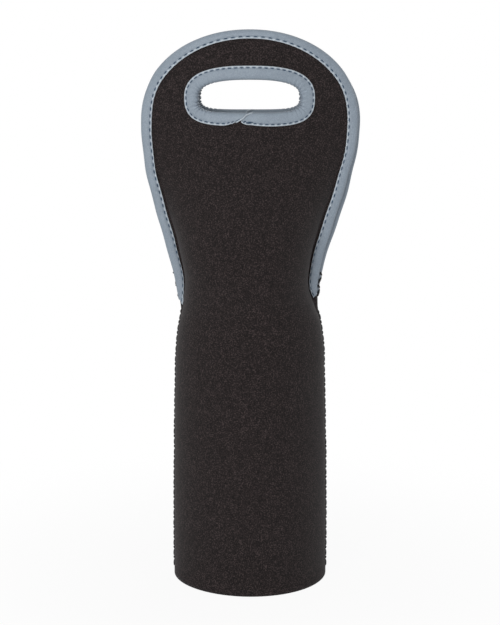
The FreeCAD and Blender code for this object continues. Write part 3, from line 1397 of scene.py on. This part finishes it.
@dataclass
class PouchSeams:
    """Thread that closes the pouch: zigzag down each side and tacks at the mouth."""

    form: CarrierForm
    finishes: Finishes
    pitch: float = 6.4 * MM
    seam_span: float = 5.0 * MM
    tack_span: float = 9.0 * MM
    width: float = 1.1 * MM
    height: float = 1.3 * MM
    end_margin: float = 4.0 * MM
    tack_margin: float = 3.0 * MM
    tack_proud: float = 0.5 * MM

    def foam_outside(self, bow: Bow) -> float:
        """Distance from the middle to the outside of the foam's edge."""
        return bow.edge.x + self.form.skin * bow.sine

    def tape_outside(self, bow: Bow) -> float:
        """Distance from the middle to where a tack lies on the tape's fold."""
        return bow.edge.x + self.form.tape_outside - self.form.skin * bow.cosine + self.tack_proud

    def zigzag(self, row: ZigzagRow, hand: Hand) -> BMesh:
        """Zigzag thread up one side, over the meeting edges of front and back.

        Args:
            row: the row of thread.
            hand: side of the carrier.

        Returns:
            Mesh of the thread.
        """
        form = self.form
        rise = row.high - row.low
        step = rise / round(rise / self.pitch) / 2
        spots = []
        for index in range(round(rise / step) + 1):
            z = row.low + index * step
            x = hand.value * row.outside(bow_at(form, z)) + form.ripple(z)
            back, front = Vector((x, row.span / 2, z)), Vector((x + form.sway(z), -row.span / 2, z))
            spots.append(back if index % 2 else front)
        bm = bmesh.new()
        for start, end in zip(spots, spots[1:]):
            add_stitch(bm, start, end, Vector((hand.value, 0, 0)), self.width, self.height)
        return bm

    def build(self) -> None:
        """Build the seams."""
        form = self.form
        foot, waist = self.end_margin, form.waist_z
        low, high = form.tail_z + self.tack_margin, form.mouth_z - self.tack_margin
        rows = (
            ZigzagRow("_side_zigzag", "_side_seam", foot, waist, self.seam_span, self.foam_outside),
            ZigzagRow("_mouth_zigzag", "_mouth_tack", low, high, self.tack_span, self.tape_outside),
        )
        for hand in Hand:
            for row in rows:
                thread = new_piece(hand.label + row.piece, self.zigzag(row, hand), self.finishes.seam_thread)
                fasten(thread, POUCH, hand.label + row.node)


@dataclass
class PouchBase:
    """Round foam base sewn into the foot of the pouch."""

    form: CarrierForm
    finishes: Finishes
    wall: float = 3.5 * MM
    play: float = 0.15 * MM
    segments: int = 96
    rim_round: float = 0.8 * MM
    rim_steps: int = 3
    flat_width: float = 0.0863
    flat_length: float = 0.0789
    flat_area: float = 0.00535
    stitch_pitch: float = 5.0 * MM
    stitch_reach: float = 2.4 * MM
    thread: float = 0.6 * MM

    def rim_point(self, turn: float, inset: float, z: float) -> Vector:
        """Point of the base's rim.

        Args:
            turn: direction from the base's middle, from the right over the back.
            inset: distance in from the rim.
            z: level.

        Returns:
            The point.
        """
        bow = bow_at(self.form, 0.0)
        across, ahead = math.cos(turn), math.sin(turn)
        swell = self.form.foot_swell(2 / math.pi * math.asin(across), self.wall)
        radius = bow.radius - self.form.skin + swell - self.play - inset
        shift = -bow.centre_y if ahead > 0 else bow.centre_y
        reach = ahead * shift + math.sqrt(max(radius ** 2 - (across * shift) ** 2, 0.0))
        return Vector((across * reach, ahead * reach, z))

    def build_disc(self) -> None:
        """Build the base, with its rims rounded."""
        bm = bmesh.new()
        for vert in bmesh.ops.create_circle(bm, cap_ends=True, segments=self.segments, radius=1.0)["verts"]:
            vert.co = self.rim_point(math.atan2(vert.co.y, vert.co.x), 0.0, 0.0)
        made = bmesh.ops.extrude_face_region(bm, geom=bm.faces[:])["geom"]
        lid = [item for item in made if isinstance(item, BMVert)]
        bmesh.ops.translate(bm, verts=lid, vec=(0, 0, self.wall))
        rims = [edge for edge in bm.edges if abs(edge.verts[0].co.z - edge.verts[1].co.z) < self.rim_round]
        bmesh.ops.bevel(bm, geom=rims, offset=self.rim_round, affect="EDGES",
                        segments=self.rim_steps, profile=0.5, material=-1)
        base = new_piece("pouch_base", bm, self.finishes.foam)
        fasten(base, POUCH, "base_disc")

    def build_overcast(self) -> None:
        """Build the thread that holds the base."""
        bm = bmesh.new()
        count = round(2 * math.pi * self.form.pouch_half / self.stitch_pitch)
        for index in range(count):
            turn = (index + 0.5) * 2 * math.pi / count
            foot = self.rim_point(turn, self.stitch_reach, self.wall + self.thread / 2)
            head = self.rim_point(turn, self.thread / 2, self.wall + self.stitch_reach)
            out = Vector((-math.cos(turn), -math.sin(turn), 1))
            add_stitch(bm, foot, head, out, self.thread, self.thread)
        fasten(new_piece("base_overcast", bm, self.finishes.seam_thread), POUCH, "base_seam")


@dataclass(frozen=True)
class Lamp:
    """Square soft light that faces the carrier."""

    name: str
    place: tuple[float, float, float]
    watts: float
    size: float = 0.8
    aim_height: float = 0.17

    def build(self) -> None:
        """Build the light."""
        light = bpy.data.lights.new(self.name, "AREA")
        light.size = self.size
        light.energy = self.watts
        lamp = bpy.data.objects.new(self.name, light)
        lamp.location = self.place
        aim = Vector((0, 0, self.aim_height)) - Vector(self.place)
        lamp.rotation_euler = aim.to_track_quat("-Z", "Y").to_euler()
        bpy.context.scene.collection.objects.link(lamp)


@dataclass
class Studio:
    """Camera, pale floor and soft light."""

    camera_place: tuple[float, float, float] = (0.0, -0.875, 0.325)
    camera_pitch: float = 10.51
    focal_pixels: float = 1483.0
    image_height: int = 625
    sensor: float = 36.0
    lamps: tuple[Lamp, ...] = (
        Lamp("key_left", (-0.6, -1.65, 0.4), 13.0),
        Lamp("fill_right", (1.5, -0.9, 0.5), 1.0),
        Lamp("back", (0.5, 1.65, 0.5), 6.0),
    )
    even_light: float = 0.45
    floor_half: float = 6.0
    floor_paint: float = 0.9
    floor_glow: float = 0.93
    shadow_reach: float = 0.06
    white_reach: float = 0.30

    def build(self) -> None:
        """Build the studio."""
        scene = bpy.context.scene
        scene.view_settings.view_transform = "Standard"
        camera = bpy.data.cameras.new("camera")
        camera.sensor_width = self.sensor
        camera.lens = self.focal_pixels * self.sensor / self.image_height
        eye = bpy.data.objects.new("camera", camera)
        eye.location = self.camera_place
        eye.rotation_euler = (math.radians(90 - self.camera_pitch), 0, 0)
        scene.collection.objects.link(eye)
        scene.camera = eye
        for lamp in self.lamps:
            lamp.build()
        self.build_world()
        self.build_floor()

    def build_world(self) -> None:
        """White for what the camera sees, an even grey light for the rest."""
        world = bpy.data.worlds.new("studio")
        bpy.context.scene.world = world
        sky = NodeGraph(world)
        rays = sky.add("LightPath", {}).outputs
        seen = sky.add("Math", {0: rays["Is Camera Ray"], 1: rays["Is Glossy Ray"]}, operation="MAXIMUM")
        strength = sky.add("MapRange", {
            "Value": seen.outputs["Value"], "To Min": self.even_light, "To Max": 1.0})
        sky.feed(sky.tree.nodes["Background"], {
            "Color": (1, 1, 1, 1), "Strength": strength.outputs["Result"]})

    def build_floor(self) -> None:
        """Pale floor that keeps a faint shadow and fades to white away from the carrier."""
        bm = bmesh.new()
        bmesh.ops.create_grid(bm, x_segments=1, y_segments=1, size=self.floor_half)
        mesh = bpy.data.meshes.new("floor")
        bm.to_mesh(mesh)
        bm.free()
        floor = bpy.data.objects.new("floor", mesh)
        bpy.context.scene.collection.objects.link(floor)
        pale = Surface("pale_floor")
        rays = pale.add("LightPath", {}).outputs
        paint = pale.add("BsdfDiffuse", {"Color": (*[self.floor_paint] * 3, 1)})
        glow = pale.add("Emission", {"Color": (1, 1, 1, 1), "Strength": 1.0})
        away = pale.add("VectorMath", {0: pale.spot}, operation="LENGTH")
        fade = pale.add("MapRange", {
            "Value": away.outputs["Value"], "From Min": self.shadow_reach, "From Max": self.white_reach,
            "To Min": self.floor_glow, "To Max": 1.0}, interpolation_type="SMOOTHSTEP")
        share = pale.add("Math", {0: rays["Is Camera Ray"], 1: fade.outputs["Result"]}, operation="MULTIPLY")
        mixed = pale.add("MixShader", {
            "Fac": share.outputs["Value"], 1: paint.outputs["BSDF"], 2: glow.outputs["Emission"]})
        pale.feed(pale.tree.nodes["Material Output"], {"Surface": mixed.outputs["Shader"]})
        mesh.materials.append(pale.material)


def main() -> None:
    """Build the carrier and the studio."""
    logging.basicConfig(level=logging.INFO)
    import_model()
    form = CarrierForm()
    Studio().build()
    finishes = Finishes(
        foam=Finish(KnitNeoprene().make(), "neoprene"),
        tape=Finish(WovenTape().make(), "binding"),
        # The first colour of each thread is its painted shade between the plies.
        thread=Finish(SpunThread("navy_thread", "#22384d", "#35526c").make(), "thread"),
        seam_thread=Finish(SpunThread("black_thread", "#0f0e0e", "#1d1b1b").make(), "seam_thread"),
    )
    for side in Side:
        Half(form, side, finishes).build()
    PouchSeams(form, finishes).build()
    base = PouchBase(form, finishes)
    base.build_disc()
    base.build_overcast()


if __name__ == "__main__":
    main()
